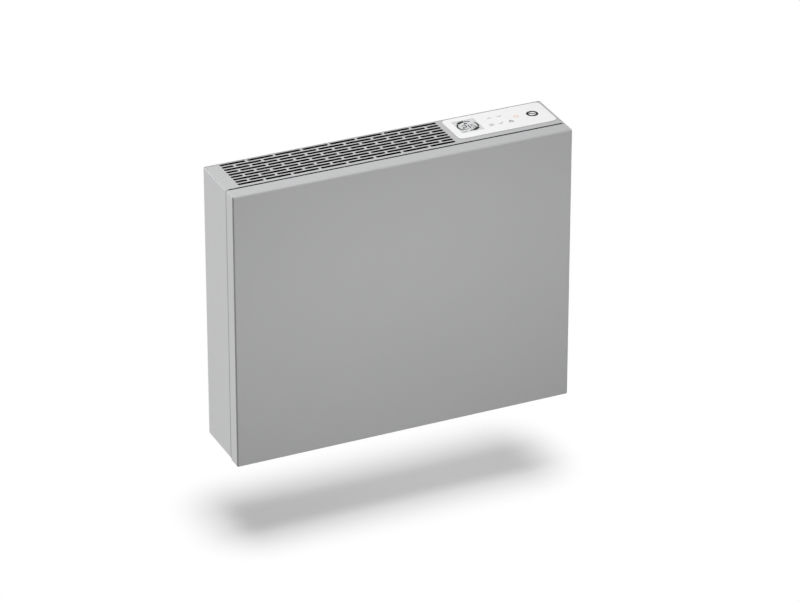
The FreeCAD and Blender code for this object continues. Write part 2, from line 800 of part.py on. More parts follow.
def plate_outline(margin):
    return rounded_rectangle(f"plate_left_x - ({margin})", f"plate_right_x + ({margin})",
                             f"plate_front_y - ({margin})", f"plate_back_y + ({margin})",
                             f"plate_corner + ({margin})")


def control_housing():
    """A tub under the top sheet that carries the plate, with posts for the board."""
    body = new_body("control_housing")
    pad(body, "XY", "ceiling_z - housing_rim_height", "ceiling_z", plate_outline("housing_rim"))
    pad(body, "XY", "housing_low_z", "ceiling_z - housing_rim_height",
        plate_outline("-housing_inset + housing_wall"))
    pocket(body, "XY", "plate_seat_z", "ceiling_z", plate_outline("plate_gap"))
    pocket(body, "XY", "housing_low_z + housing_wall", "plate_seat_z", plate_outline("-housing_inset"))
    inset = "(housing_inset + post_inset)"
    post = pad(body, "XY", "housing_low_z + housing_wall", "board_low_z",
               circle(f"plate_left_x + {inset}", f"plate_front_y + {inset}", "post_radius"))
    repeat(body, [post], ("X", f"plate_width - 2 * {inset}", "2"), ("Y", f"plate_depth - 2 * {inset}", "2"))


def control_plate():
    body = new_body("control_plate")
    pad(body, "XY", "plate_seat_z", "plate_top_z", plate_outline("0"))
    round_edges(body, "plate_round", lies_at(z="plate_top_z"))
    pocket(body, "XY", "plate_seat_z", "plate_top_z",
           rectangle("window_left_x", "window_left_x + window_width",
                     "window_front_y", "window_front_y + window_depth"))


def window_outline(margin):
    return rectangle(f"window_left_x - ({margin})", f"window_left_x + window_width + ({margin})",
                     f"window_front_y - ({margin})", f"window_front_y + window_depth + ({margin})")


def display():
    lens = new_body("display_lens")
    pad(lens, "XY", "lens_low_z", "lens_top_z", window_outline("-close_gap"))
    module = new_body("display_module")
    pad(module, "XY", "board_top_z", "plate_seat_z - fit_gap", window_outline("display_margin"))
    pad(module, "XY", "plate_seat_z - fit_gap", "lens_low_z", window_outline("-close_gap"))


def control_board():
    body = new_body("control_board")
    pad(body, "XY", "board_low_z", "board_top_z", plate_outline("-housing_inset - board_gap"))


def touch_pads():
    """Sensing pads between the board and the plate, one under each key."""
    body = new_body("touch_pads", many=True)
    span = ("board_top_z", "plate_seat_z")
    rows = (("front_key_left", "front_key_row", "front_keys"), ("back_key_left", "back_key_row", "back_keys"))
    for left, row, count in rows:
        key = pad(body, "XY", *span, circle(f"plate_left_x + {left}", f"plate_front_y + {row}", "key_radius"))
        repeat(body, [key], ("X", "key_pitch", count))
    pad(body, "XY", *span,
        circle("plate_left_x + power_key_left", "plate_front_y + power_key_row", "key_radius"))


# Control bay.

def bay_cover():
    """A plate over the control bay, cut clear of the panel sockets."""
    body = new_body("bay_cover")
    pad(body, "XZ", "cover_y", "bay_front_y",
        rectangle("partition_x", "inner_half", "floor_z + fit_gap", "ceiling_z - fit_gap"))
    socket = pocket(body, "XZ", "cover_y", "bay_front_y",
                    circle("peg_half", "peg_low_z", "socket_radius + fit_gap"))
    repeat(body, [socket], ("Z", "height - 2 * peg_margin", "2"))


def power_board():
    body = new_body("power_board")
    pad(body, "XZ", "power_face_y", "power_rear_y",
        rectangle("power_left_x", "power_right_x", "power_low_z", "power_top_z"))


def board_standoffs():
    body = new_body("board_standoffs", many=True)
    post = pad(body, "XZ", "power_rear_y", "back_inner_y",
               circle("power_left_x + standoff_inset", "power_low_z + standoff_inset", "standoff_radius"))
    repeat(body, [post], ("X", "power_width - 2 * standoff_inset", "2"),
           ("Z", "power_height - 2 * standoff_inset", "2"))


def boxed_part(label, left, low, breadth, tall, deep):
    """A moulded block on the power board, its front corners rounded."""
    body = new_body(label, left, "power_face_y", low)
    pad(body, "XZ", f"-{deep}", "0", rectangle("0", breadth, "0", tall))
    round_edges(body, "part_round", lies_at(y=f"-{deep}"))


def power_parts():
    boxed_part("power_relay", "power_left_x + part_edge", "power_low_z + 2 * part_edge",
               "relay_width", "relay_height", "relay_depth")
    boxed_part("filter_capacitor", "power_left_x + part_edge",
               "power_top_z - 2 * part_edge - capacitor_height",
               "capacitor_width", "capacitor_height", "capacitor_depth")


def supply_transformer():
    """A wound bobbin with a core clamped round it."""
    body = new_body("supply_transformer", "power_right_x - part_edge - coil_width - core_overhang",
                    "power_face_y", "power_top_z - part_edge - coil_height")
    pad(body, "XZ", "-coil_depth", "0", rectangle("0", "coil_width", "0", "coil_height"))
    core = ("(coil_height - core_height) / 2", "(coil_height + core_height) / 2")
    pad(body, "XZ", "-coil_depth + core_overhang", "-core_overhang",
        rectangle("-core_overhang", "coil_width + core_overhang", *core))


def triac_heatsink():
    """A finned extrusion standing on the board."""
    body = new_body("triac_heatsink", "power_right_x - part_edge - sink_width", "power_face_y",
                    "power_low_z + part_edge")
    pad(body, "XY", "0", "sink_height", rectangle("0", "sink_width", "-sink_base", "0"))
    fin = pad(body, "XY", "0", "sink_height", rectangle("0", "sink_fin", "-sink_depth", "-sink_base"))
    repeat(body, [fin], ("X", "(sink_width - sink_fin) / (sink_fins - 1)", "sink_fins"))


def terminal_block():
    body = new_body("terminal_block", "partition_x + block_left", "front_y + block_front", "floor_z")
    pole = pad(body, "XY", "0", "block_height", rectangle("0", "block_pole", "0", "block_depth"))
    repeat(body, [pole], ("X", "block_pole", "block_poles"))
    screw = pocket(body, "XY", "block_height / 2", "block_height",
                   circle("block_pole / 2", "block_depth / 2", "block_hole_radius"))
    repeat(body, [screw], ("X", "block_pole", "block_poles"))
    wire = pocket(body, "XZ", "0", "block_depth", circle("block_pole / 2", "block_height / 4",
                                                         "block_hole_radius"))
    repeat(body, [wire], ("X", "block_pole", "block_poles"))


def cord_gland():
    body = new_body("cord_gland", "gland_x", "gland_y", "casing_low_z")
    turn(body, "Z", ("gland_bore_radius", "-gland_rim"), ("gland_rim_radius - gland_rim / 2", "-gland_rim"),
         ("gland_rim_radius", "-gland_rim / 2"), ("gland_rim_radius", "0"), ("gland_neck_radius", "0"),
         ("gland_neck_radius", "gland_neck"), ("gland_bore_radius", "gland_neck"))
    nut = new_body("gland_nut", "gland_x", "gland_y", "floor_z")
    reach = "gland_nut_radius"
    rise = f"{reach} * sqrt(3) / 2"
    pad(nut, "XY", "0", "gland_nut", polygon(
        (reach, "0"), (f"{reach} / 2", rise), (f"-{reach} / 2", rise),
        (f"-{reach}", "0"), (f"-{reach} / 2", f"-{rise}"), (f"{reach} / 2", f"-{rise}")))
    pocket(nut, "XY", "0", "gland_nut", circle("0", "0", "gland_neck_radius + close_gap"))


def switch_outline(margin):
    return rectangle(f"-switch_width / 2 - ({margin})", f"switch_width / 2 + ({margin})",
                     f"-switch_height / 2 - ({margin})", f"switch_height / 2 + ({margin})")


def mains_switch():
    """A snap-in switch in the right side, with the rocker in its cavity."""
    body = new_body("mains_switch", "casing_half", "switch_y", "switch_z")
    pad(body, "YZ", "-switch_depth", "0", switch_outline("0"))
    pad(body, "YZ", "0", "switch_rim_height", switch_outline("switch_rim"))
    pocket(body, "YZ", "-cavity_depth", "switch_rim_height", switch_outline("-switch_wall"))
    rocker = new_body("mains_rocker", "pivot_x", "switch_y", "switch_z")
    rocker.Placement.Rotation = FreeCAD.Rotation(Vector(0, 1, 0), 1)
    bind(rocker, "Placement.Rotation.Angle", "rocker_tilt")
    half = "switch_width / 2 - switch_wall - fit_gap"
    end = "switch_height / 2 - switch_wall - rocker_swing_gap"
    pad(rocker, "XZ", f"-({half})", half, polygon(
        ("-rocker_back", f"-({end} - rocker_taper)"), ("rocker_end", f"-({end})"), ("rocker_waist", "0"),
        ("rocker_end", end), ("-rocker_back", f"{end} - rocker_taper")))


def air_sensor():
    """A probe standing in a clip on the casing floor."""
    spot = ("partition_x + sensor_left", "front_y + sensor_front")
    clip = new_body("sensor_clip", *spot, "floor_z")
    bore, wall = "sensor_radius + close_gap", "sensor_radius + close_gap + clip_wall"
    turn(clip, "Z", ("0", "0"), ("clip_foot_radius", "0"), ("clip_foot_radius", "clip_foot"),
         (wall, "clip_foot"), (wall, "clip_height"), (bore, "clip_height"), (bore, "clip_foot"),
         ("0", "clip_foot"))
    probe = new_body("air_sensor", *spot, "floor_z + clip_foot")
    pad(probe, "XY", "0", "sensor_length", circle("0", "0", "sensor_radius"))
    round_edges(probe, "sensor_radius / 2", lies_at(z="sensor_length"))


def lead_grommet():
    body = new_body("lead_grommet", "partition_x", "element_y", "casing_low_z + grommet_rise")
    near, far = "-close_gap", "sheet + close_gap"
    start, end = f"{near} - grommet_rim", f"{far} + grommet_rim"
    turn(body, "X", ("grommet_bore_radius", start), ("grommet_rim_radius", start),
         ("grommet_rim_radius", near), ("grommet_groove_radius", near), ("grommet_groove_radius", far),
         ("grommet_rim_radius", far), ("grommet_rim_radius", end), ("grommet_bore_radius", end))


# Wall fixing.

def wall_bracket():
    """A plate on the wall with two hooks bent up from its top edge and a shelf along its foot."""
    body = new_body("wall_bracket")
    half, rise = "bracket_width / 2", "bracket_height / 2"
    pad(body, "XZ", "-wall_sheet", "0", rectangle(f"-{half}", half, f"-{rise}", rise))
    pad(body, "XY", f"-{rise}", f"-{rise} + wall_sheet",
        rectangle(f"-{half}", half, "back_face_y + fit_gap", "-wall_sheet"))
    left = "-hook_spacing / 2 - hook_width / 2"
    right = f"{left} + hook_width"
    arm = pad(body, "XY", f"{rise} - wall_sheet", rise, rectangle(left, right, "hook_tip_y", "-wall_sheet"))
    lip = pad(body, "XZ", "hook_tip_y", "hook_tip_y + wall_sheet",
              rectangle(left, right, rise, f"{rise} + hook_lip"))
    repeat(body, [arm, lip], ("X", "hook_spacing", "2"))
    holes = pocket(body, "XZ", "-wall_sheet", "0",
                   circle("-screw_spacing_x / 2", "-screw_spacing_z / 2", "wall_hole_radius"))
    repeat(body, [holes], ("X", "screw_spacing_x", "2"), ("Z", "screw_spacing_z", "2"))


def wall_spacers():
    body = new_body("wall_spacers", "-spacer_spacing / 2", "back_face_y", "casing_low_z + spacer_rise",
                    many=True)
    reach = "-back_face_y"
    spacer = turn(body, "Y", ("0", "0"), ("spacer_foot_radius", "0"), ("spacer_foot_radius", "spacer_foot"),
                  ("spacer_radius", "spacer_foot"), ("spacer_radius", f"{reach} - edge_round"),
                  ("spacer_radius - edge_round", reach), ("0", reach))
    repeat(body, [spacer], ("X", "spacer_spacing", "2"))


def build():
    fill_sheet()
    for make in (front_panel, panel_pegs, panel_sockets, side_panels, top_grille, bottom_grille, back_panel,
                 casing_screws, partition_wall, heat_shield, element_brackets, heating_element, element_rod,
                 element_bushes, element_terminals, thermal_cutout, control_housing, control_plate, display,
                 control_board, touch_pads, bay_cover, power_board, board_standoffs, power_parts,
                 supply_transformer, triac_heatsink, terminal_block, cord_gland, mains_switch, air_sensor,
                 lead_grommet, wall_bracket, wall_spacers):
        make()
    doc.recompute()


def check():
    for thing in doc.Objects:
        if {"Invalid", "Error"} & set(thing.State):
            raise RuntimeError(f"{thing.Label} failed: {thing.State}")
    for piece in pieces:
        if piece.Shape.isNull() or not piece.Shape.isValid() or not piece.Shape.Solids:
            raise RuntimeError(f"{piece.Label} has no valid solid")


def export():
    os.makedirs("parts", exist_ok=True)
    for piece in pieces:
        piece.Shape.exportStep(os.path.join("parts", piece.Label + ".step"))


build()
check()
export()
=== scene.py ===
import json
import math

import bpy
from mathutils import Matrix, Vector


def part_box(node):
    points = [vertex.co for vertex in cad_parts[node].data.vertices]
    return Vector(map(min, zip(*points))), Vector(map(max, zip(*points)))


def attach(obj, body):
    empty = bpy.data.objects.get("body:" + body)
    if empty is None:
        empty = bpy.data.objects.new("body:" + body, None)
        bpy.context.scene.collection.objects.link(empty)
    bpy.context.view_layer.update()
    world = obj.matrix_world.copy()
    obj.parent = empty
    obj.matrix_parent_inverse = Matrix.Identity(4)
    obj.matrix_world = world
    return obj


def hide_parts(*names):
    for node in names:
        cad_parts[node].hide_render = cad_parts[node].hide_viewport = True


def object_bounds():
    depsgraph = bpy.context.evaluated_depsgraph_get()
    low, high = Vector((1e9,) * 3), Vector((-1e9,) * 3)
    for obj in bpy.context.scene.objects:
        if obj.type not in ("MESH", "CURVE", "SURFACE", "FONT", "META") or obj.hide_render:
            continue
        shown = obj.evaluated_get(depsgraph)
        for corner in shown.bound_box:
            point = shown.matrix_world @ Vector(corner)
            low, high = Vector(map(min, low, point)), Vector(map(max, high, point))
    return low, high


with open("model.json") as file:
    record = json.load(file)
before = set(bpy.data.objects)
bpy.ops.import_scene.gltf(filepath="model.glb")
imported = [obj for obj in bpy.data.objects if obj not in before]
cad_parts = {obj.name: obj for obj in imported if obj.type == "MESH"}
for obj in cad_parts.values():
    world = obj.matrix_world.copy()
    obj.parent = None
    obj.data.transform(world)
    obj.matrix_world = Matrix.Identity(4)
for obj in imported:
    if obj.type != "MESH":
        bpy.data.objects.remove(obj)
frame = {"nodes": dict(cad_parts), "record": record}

# Looks for a wall-hung convector heater in silver-grey sheet steel: paints, metals and mouldings for
# every piece, the signs printed on the control plate, and the casing's screw heads. Lengths are in
# metres and places in the part's frame.

CAD_LOW, CAD_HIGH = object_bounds()
CAD_MIDDLE = (CAD_LOW + CAD_HIGH) / 2
MM = 0.001

# Camera, fitted to the corners of the casing in an image 800 pixels wide.
IMAGE_WIDTH = 800
FOCAL_PIXELS = 4574
SENSOR_MM = 36
CAMERA_PLACE = (-2.8866, -6.4400, 3.5192)
CAMERA_TURN = 24.56
CAMERA_DIP = 27.73

# The floor lies well under the heater, which hangs clear of it. It turns from grey on the left to pale
# between two places along X, a painted shade that darkens the left end of the shadow, and sends less light
# back to the heater than it shows.
FLOOR_GAP = 0.146
FLOOR_HALF = 8.0
FLOOR_PALE = (0.97, 0.97, 0.97)
FLOOR_LEFT_SHADE = (0.74, 0.74, 0.74)
FLOOR_TURN = (-0.40, 0.10)
FLOOR_BOUNCE = (0.50, 0.50, 0.50)

# The shadow shows on the floor this far round a spot under the heater, then fades to white. A share of
# white lifts it all over.
SHADOW_SHIFT = -0.022
SHADOW_CORE = (0.248, 0.03)
SHADOW_FADE = 0.138
SHADOW_PALE = 0.2

# Lamps: place, point aimed at, width and height, spread in degrees, and power. The front one is a low
# strip whose narrow spread lets the front panel darken towards its foot.
LAMPS = {
    "overhead_softbox": ((-0.36, -0.04, 1.60), CAD_MIDDLE, (1.2, 1.2), 180, 20.6),
    "left_softbox": ((-2.60, -0.13, -0.05), CAD_MIDDLE, (1.6, 1.0), 180, 32.0),
    "right_softbox": ((2.60, -0.13, -0.05), CAD_MIDDLE, (1.6, 1.0), 180, 14.0),
    "front_softbox": ((0.03, -1.65, -0.045), (0.03, 0.0, -0.045), (1.5, 0.2), 60, 1.36),
}
AMBIENT = 0.32

# Shares of colour lost to painted shade on a blackened face and on an edge; a painted highlight gains the
# same share.
BLACKENED = 0.99
EDGE_SHADE = 0.4

# Printed signs are thin films, sunk a hair into what carries them.
FILM = 0.09 * MM
FILM_SINK = 0.03 * MM
STROKE = 1.2 * MM

# Pan heads of the casing screws, four along each side, with a cross pressed into each.
SCREW_ROWS = 4
SCREW_HEAD = 3.6 * MM
SCREW_RISE = 2.0 * MM
CROSS_LENGTH = 1.1 * SCREW_HEAD
CROSS_WIDTH = 0.26 * SCREW_HEAD
CROSS_DEPTH = 0.5 * SCREW_RISE


class Wire:
    """A shader socket. Arithmetic on it adds Math nodes."""

    def __init__(self, finish, socket):
        self.finish = finish
        self.socket = socket

    def maths(self, operation, first, second=0.0):
        return self.finish.node("Math", {"operation": operation}, {0: first, 1: second})

    def __add__(self, other):
        return self.maths("ADD", self, other)

    def __sub__(self, other):
        return self.maths("SUBTRACT", self, other)

    def __rsub__(self, other):
        return self.maths("SUBTRACT", other, self)

    def __mul__(self, other):
        return self.maths("MULTIPLY", self, other)

    def __lt__(self, other):
        return self.maths("LESS_THAN", self, other)

    def __abs__(self):
        return self.maths("ABSOLUTE", self)

    def least(self, other):
        return self.maths("MINIMUM", self, other)

    def most(self, other):
        return self.maths("MAXIMUM", self, other)

    def root(self):
        return self.maths("SQRT", self)

    __radd__ = __add__
    __rmul__ = __mul__


class Finish:
    """The nodes of one material, made around its shader."""

    def __init__(self, tree):
        self.tree = tree

    def plug(self, node, sockets):
        for key, given in sockets.items():
            if isinstance(given, Wire):
                self.tree.links.new(given.socket, node.inputs[key])
            else:
                node.inputs[key].default_value = given

    def node(self, kind, settings=None, sockets=None, out=0):
        made = self.tree.nodes.new("ShaderNode" + kind)
        for key, setting in (settings or {}).items():
            setattr(made, key, setting)
        self.plug(made, sockets or {})
        return Wire(self, made.outputs[out])

    def place(self, stretch=(1, 1, 1)):
        spot = self.node("TexCoord", out="Object")
        return self.node("VectorMath", {"operation": "MULTIPLY"}, {0: spot, 1: stretch})

    def axis(self, name):
        spot = self.node("TexCoord", out="Object")
        return self.node("SeparateXYZ", None, {0: spot}, out=name)

    def noise(self, grain, detail=2.0, stretch=(1, 1, 1)):
        """Noise from 0 to 1 whose lumps are about one grain across."""
        return self.node("TexNoise", None, {
            "Vector": self.place(stretch), "Scale": 1 / grain, "Detail": detail})

    def cells(self, size, out="Distance"):
        return self.node("TexVoronoi", None, {"Vector": self.place(), "Scale": 1 / size}, out=out)

    def spread(self, share, low, high):
        """A share from 0 to 1, held there and spread between two numbers."""
        return self.node("MapRange", {"clamp": True}, {"Value": share, "To Min": low, "To Max": high})

    def between(self, value, low, high):
        """0 below low, 1 above high, smooth between them."""
        return self.node("MapRange", {"interpolation_type": "SMOOTHSTEP"},
                         {"Value": value, "From Min": low, "From Max": high})

    def within(self, distance, full, none):
        """1 up to a full distance, 0 past the other, smooth between them."""
        return 1 - self.between(distance, full, none)

    def mix(self, share, first, second):
        return self.node("Mix", {"data_type": "RGBA"}, {0: share, 6: rgba(first), 7: rgba(second)}, out=2)

    def shade(self, colour, strength):
        return self.node("VectorMath", {"operation": "SCALE"}, {0: colour, "Scale": strength})

    def bump(self, height, depth):
        return self.node("Bump", None, {"Height": height, "Distance": depth})


def rgba(colour):
    return colour if isinstance(colour, Wire) else (*colour[:3], 1.0)


def new_finish(name):
    material = bpy.data.materials.new(name)
    material.use_nodes = True
    finish = Finish(material.node_tree)
    finish.material = material
    finish.shader = material.node_tree.nodes["Principled BSDF"]
    return finish


def painted(name, colour, roughness=0.42, dimmed=None):
    """Satin powder coat: orange peel, a fine fleck, a slow drift of tone, and painted shade or highlight
    where given.

    Places where painted shade goes down to black lose their gloss too.
    """
    coat = new_finish(name)
    peel = coat.noise(1.6 * MM, 2.0)
    fleck = coat.noise(0.35 * MM, 1.0)
    drift = coat.noise(240 * MM, 1.0)
    tone = 0.95 + 0.06 * drift + 0.04 * fleck
    if dimmed:
        dark = dimmed(coat)
        tone = tone * (1 - dark)
        coat.plug(coat.shader, {"Metallic": coat.between(dark, 0.8, 0.95)})
    coat.plug(coat.shader, {
        "Base Color": coat.shade(colour, tone),
        "Roughness": coat.spread(peel, roughness - 0.05, roughness + 0.05),
        "Normal": coat.bump(peel, 0.012 * MM),
        "Specular IOR Level": 0.42,
    })
    return coat.material


def galvanised(name, colour, dimmed=None):
    """Zinc-coated sheet with its spangle, and painted shade where given."""
    zinc = new_finish(name)
    spangle = zinc.node("SeparateColor", None, {0: zinc.cells(9 * MM, "Color")})
    streak = zinc.noise(1.2 * MM, 2.0, (0.08, 1, 1))
    tone = 0.82 + 0.22 * spangle + 0.10 * streak
    if dimmed:
        tone = tone * (1 - dimmed(zinc))
    zinc.plug(zinc.shader, {
        "Base Color": zinc.shade(colour, tone),
        "Roughness": zinc.spread(spangle, 0.36, 0.54),
        "Metallic": 0.85,
        "Normal": zinc.bump(streak, 0.006 * MM),
    })
    return zinc.material


def panel_bend_shade(coat):
    """Painted shade on the front panel's tight bends: most on the left, least at the bottom."""
    low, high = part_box("front_panel")
    left_shade, right_shade, bottom_shade = 0.62, 0.20, 0.14
    on_bend = coat.within(coat.axis("Y") - low.y, 1.6 * MM, 2.6 * MM)
    left = coat.within(coat.axis("X") - low.x, 1.6 * MM, 2.8 * MM)
    right = coat.within(high.x - coat.axis("X"), 1.0 * MM, 2.4 * MM)
    bottom = coat.within(coat.axis("Z") - low.z, 1.0 * MM, 2.4 * MM)
    return on_bend * (left_shade * left).most(right_shade * right).most(bottom_shade * bottom)


def grille_shade(coat):
    """Painted shade: black on the slots' walls, the underside and the bend in the seam, dimmer on the back
    bend.
    """
    low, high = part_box("top_grille")
    middle, half = (low.x + high.x) / 2, (high.x - low.x) / 2
    sunk = high.z - coat.axis("Z")
    below = coat.between(sunk, 0.03 * MM, 0.09 * MM) * coat.within(sunk, 3.0 * MM, 6.0 * MM)
    from_back = coat.between(high.y - coat.axis("Y"), 3.6 * MM, 5.0 * MM)
    from_ends = coat.between(half - abs(coat.axis("X") - middle), 3.0 * MM, 4.0 * MM)
    return (BLACKENED * below * from_back * from_ends).most(EDGE_SHADE - EDGE_SHADE * from_back)


def casing_edge_shade_and_highlight(coat):
    """Painted shade on the casing's front bends in the seam, and a painted highlight on the left side's top
    edge.
    """
    low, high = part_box("side_panel_left")
    front = coat.within(coat.axis("Y") - low.y, 1.2 * MM, 2.4 * MM)
    top = coat.between(coat.axis("Z") - high.z, -1.6 * MM, -0.8 * MM)
    on_left = coat.axis("X") < 0.0
    return EDGE_SHADE * front - EDGE_SHADE * top * on_left


def back_face_shade(zinc):
    """The back panel's inner face, painted near black as the shade seen through the slots."""
    low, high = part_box("back_panel")
    return BLACKENED * (zinc.axis("Y") < (low.y + high.y) / 2)


def duct_face_shade(zinc):
    """The partition's face to the air duct, painted near black as shade, like the back panel's."""
    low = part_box("partition_wall")[0]
    return BLACKENED * (zinc.axis("X") < low.x + 0.6 * MM)


def drawn(name, colour, roughness, metallic=0.9, stretch=(0.04, 1, 1)):
    """Rolled or extruded metal, with fine lines along its length."""
    metal = new_finish(name)
    lines = metal.noise(0.7 * MM, 3.0, stretch)
    cloud = metal.noise(35 * MM, 2.0)
    metal.plug(metal.shader, {
        "Base Color": metal.shade(colour, 0.84 + 0.20 * lines + 0.10 * cloud),
        "Roughness": metal.spread(lines, roughness - 0.08, roughness + 0.10),
        "Metallic": metallic,
        "Normal": metal.bump(lines, 0.010 * MM),
    })
    return metal.material


def sheath_steel():
    """A heating rod's sheath, dulled and tinted by heat."""
    steel = new_finish("sheath_steel")
    cloud = steel.noise(18 * MM, 3.0)
    tint = steel.mix(steel.between(cloud, 0.35, 0.65), (0.36, 0.33, 0.30), (0.45, 0.37, 0.27))
    steel.plug(steel.shader, {
        "Base Color": tint,
        "Roughness": steel.spread(cloud, 0.34, 0.52),
        "Metallic": 0.9,
        "Normal": steel.bump(steel.noise(0.5 * MM), 0.006 * MM),
    })
    return steel.material


def moulded(name, colour, roughness, grain=0.6 * MM, depth=0.012 * MM, coat=0.0):
    """Moulded plastic, rubber or ceramic with the grain of its mould."""
    plastic = new_finish(name)
    texture = plastic.noise(grain, 2.0)
    drift = plastic.noise(30 * MM, 1.0)
    plastic.plug(plastic.shader, {
        "Base Color": plastic.shade(colour, 0.95 + 0.06 * drift + 0.04 * texture),
        "Roughness": plastic.spread(texture, roughness - 0.05, roughness + 0.06),
        "Normal": plastic.bump(texture, depth),
        "Coat Weight": coat,
    })
    return plastic.material


def circuit_board():
    """Green solder mask with lighter tracks and tinned pads."""
    board = new_finish("circuit_board")
    tracks = board.node("TexBrick", {"offset": 0.37}, {
        "Vector": board.place(), "Scale": 60.0, "Mortar Size": 0.05,
        "Color1": (0, 0, 0, 1), "Color2": (0, 0, 0, 1), "Mortar": (1, 1, 1, 1)}, out="Fac")
    pads = board.cells(4 * MM) < 0.16
    mask = board.mix(tracks, (0.012, 0.10, 0.035), (0.03, 0.19, 0.07))
    board.plug(board.shader, {
        "Base Color": board.mix(pads, mask, (0.70, 0.70, 0.68)),
        "Metallic": pads * 0.8,
        "Roughness": board.spread(tracks, 0.34, 0.44),
        "Normal": board.bump(tracks + pads, 0.03 * MM),
    })
    return board.material


def wound_core():
    """A ferrite core round a winding wrapped in yellow tape."""
    low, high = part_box("supply_transformer")
    middle = (low.z + high.z) / 2
    core_half = 10 * MM
    part = new_finish("wound_core")
    tape = part.between(abs(part.axis("Z") - middle), core_half, core_half + 0.2 * MM)
    wraps = part.noise(1.5 * MM, 2.0, (1, 1, 0.1))
    yellow = part.shade((0.72, 0.50, 0.06), 0.85 + 0.3 * wraps)
    part.plug(part.shader, {
        "Base Color": part.mix(tape, (0.045, 0.045, 0.05), yellow),
        "Roughness": part.spread(wraps, 0.40, 0.60),
        "Normal": part.bump(wraps, 0.02 * MM),
    })
    return part.material


def display_glass():
    """A pale grey display under a clear window, with the fine grid of its cells and a darker frame line."""
    low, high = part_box("display_lens")
    middle = (low + high) / 2
    half = (high - low) / 2
    frame_line = 0.7 * MM
    cell = 0.9 * MM
    glass = new_finish("display_glass")
    across = half.x - abs(glass.axis("X") - middle.x)
    along = half.y - abs(glass.axis("Y") - middle.y)
    inset = across.least(along)
    rim = glass.within(inset, frame_line * 0.5, frame_line)
    grid = glass.node("TexBrick", {"offset": 0.0}, {
        "Vector": glass.place(), "Scale": 1 / cell, "Brick Width": 1.0, "Row Height": 1.0,
        "Mortar Size": 0.06}, out="Fac")
    sheen = glass.noise(22 * MM, 1.0)
    pale = glass.shade((0.62, 0.63, 0.635), 0.97 + 0.06 * sheen - 0.04 * grid)
    glass.plug(glass.shader, {
        "Base Color": glass.mix(rim, pale, (0.30, 0.30, 0.31)),
        "Roughness": glass.spread(sheen, 0.16, 0.24),
        "Coat Weight": 0.5,
        "Normal": glass.bump(sheen, 0.01 * MM),
    })
    return glass.material


def ink(name, colour):
    """Screen-printed ink, a little uneven."""
    print_ink = new_finish(name)
    mottle = print_ink.noise(0.4 * MM, 2.0)
    print_ink.plug(print_ink.shader, {
        "Base Color": print_ink.shade(colour, 0.92 + 0.16 * mottle),
        "Roughness": print_ink.spread(mottle, 0.45, 0.60),
        "Specular IOR Level": 0.12,
        "Normal": print_ink.bump(mottle, 0.004 * MM),
    })
    return print_ink.material


SILVER = (0.455, 0.457, 0.462)
ZINC = (0.56, 0.57, 0.58)

# One finish for each material slot of the record.
FINISHES = {
    "panel_paint": painted("panel_paint", SILVER, dimmed=panel_bend_shade),
    "casing_paint": painted("casing_paint", SILVER, dimmed=casing_edge_shade_and_highlight),
    "bracket_paint": painted("bracket_paint", (0.40, 0.402, 0.407), 0.5),
    "zinc_sheet": galvanised("zinc_sheet", ZINC),
    "reflector_sheet": drawn("reflector_sheet", (0.74, 0.74, 0.75), 0.26),
    "element_alloy": drawn("element_alloy", (0.52, 0.52, 0.51), 0.46),
    "rod_steel": sheath_steel(),
    "bush_ceramic": moulded("bush_ceramic", (0.78, 0.75, 0.69), 0.62, 0.3 * MM),
    "terminal_metal": drawn("terminal_metal", (0.68, 0.64, 0.55), 0.32),
    "cutout_case": moulded("cutout_case", (0.022, 0.021, 0.021), 0.36, 0.8 * MM),
    "plate_white": moulded("plate_white", (0.855, 0.855, 0.86), 0.36, 0.5 * MM, 0.006 * MM),
    "display_glass": display_glass(),
    "inner_white": moulded("inner_white", (0.72, 0.72, 0.70), 0.48),
    "board_green": circuit_board(),
    "pad_rubber": moulded("pad_rubber", (0.030, 0.030, 0.032), 0.72, 0.4 * MM),
    "black_moulding": moulded("black_moulding", (0.024, 0.024, 0.026), 0.50, 0.7 * MM, 0.03 * MM),
    "rocker_gloss": moulded("rocker_gloss", (0.018, 0.018, 0.019), 0.22, 2.0 * MM, 0.006 * MM, 0.3),
    "capacitor_box": moulded("capacitor_box", (0.62, 0.45, 0.05), 0.42),
    "core_ferrite": wound_core(),
    "sink_alloy": drawn("sink_alloy", (0.66, 0.66, 0.67), 0.38, 0.9, (1, 1, 0.04)),
    "standoff_nylon": moulded("standoff_nylon", (0.78, 0.77, 0.73), 0.45),
}
# Nodes whose finish differs from that of their slot, with painted shade in hidden or shaded places.
NODE_FINISHES = {
    "top_grille": painted("grille_paint", SILVER, dimmed=grille_shade),
    "back_panel": galvanised("back_sheet", ZINC, back_face_shade),
    "partition_wall": galvanised("duct_sheet", ZINC, duct_face_shade),
}
SIGN_GREY = ink("sign_grey", (0.16, 0.16, 0.165))
SIGN_PALE = ink("sign_pale", (0.27, 0.27, 0.275))
SIGN_ORANGE = ink("sign_orange", (0.80, 0.42, 0.16))
SEGMENT_DARK = ink("segment_dark", (0.004, 0.004, 0.005))
SEGMENT_GREY = ink("segment_grey", (0.12, 0.12, 0.125))


def dress_nodes():
    for row in frame["record"]["subparts"]:
        mesh = frame["nodes"][row["node"]].data
        mesh.materials.clear()
        mesh.materials.append(NODE_FINISHES.get(row["node"]) or FINISHES[row["material_slot"]])


# Shaping of the printed films, and joining.

def begin():
    """Leaves edit mode and deselects everything."""
    if bpy.context.object and bpy.context.object.mode != "OBJECT":
        bpy.ops.object.mode_set(mode="OBJECT")
    bpy.ops.object.select_all(action="DESELECT")


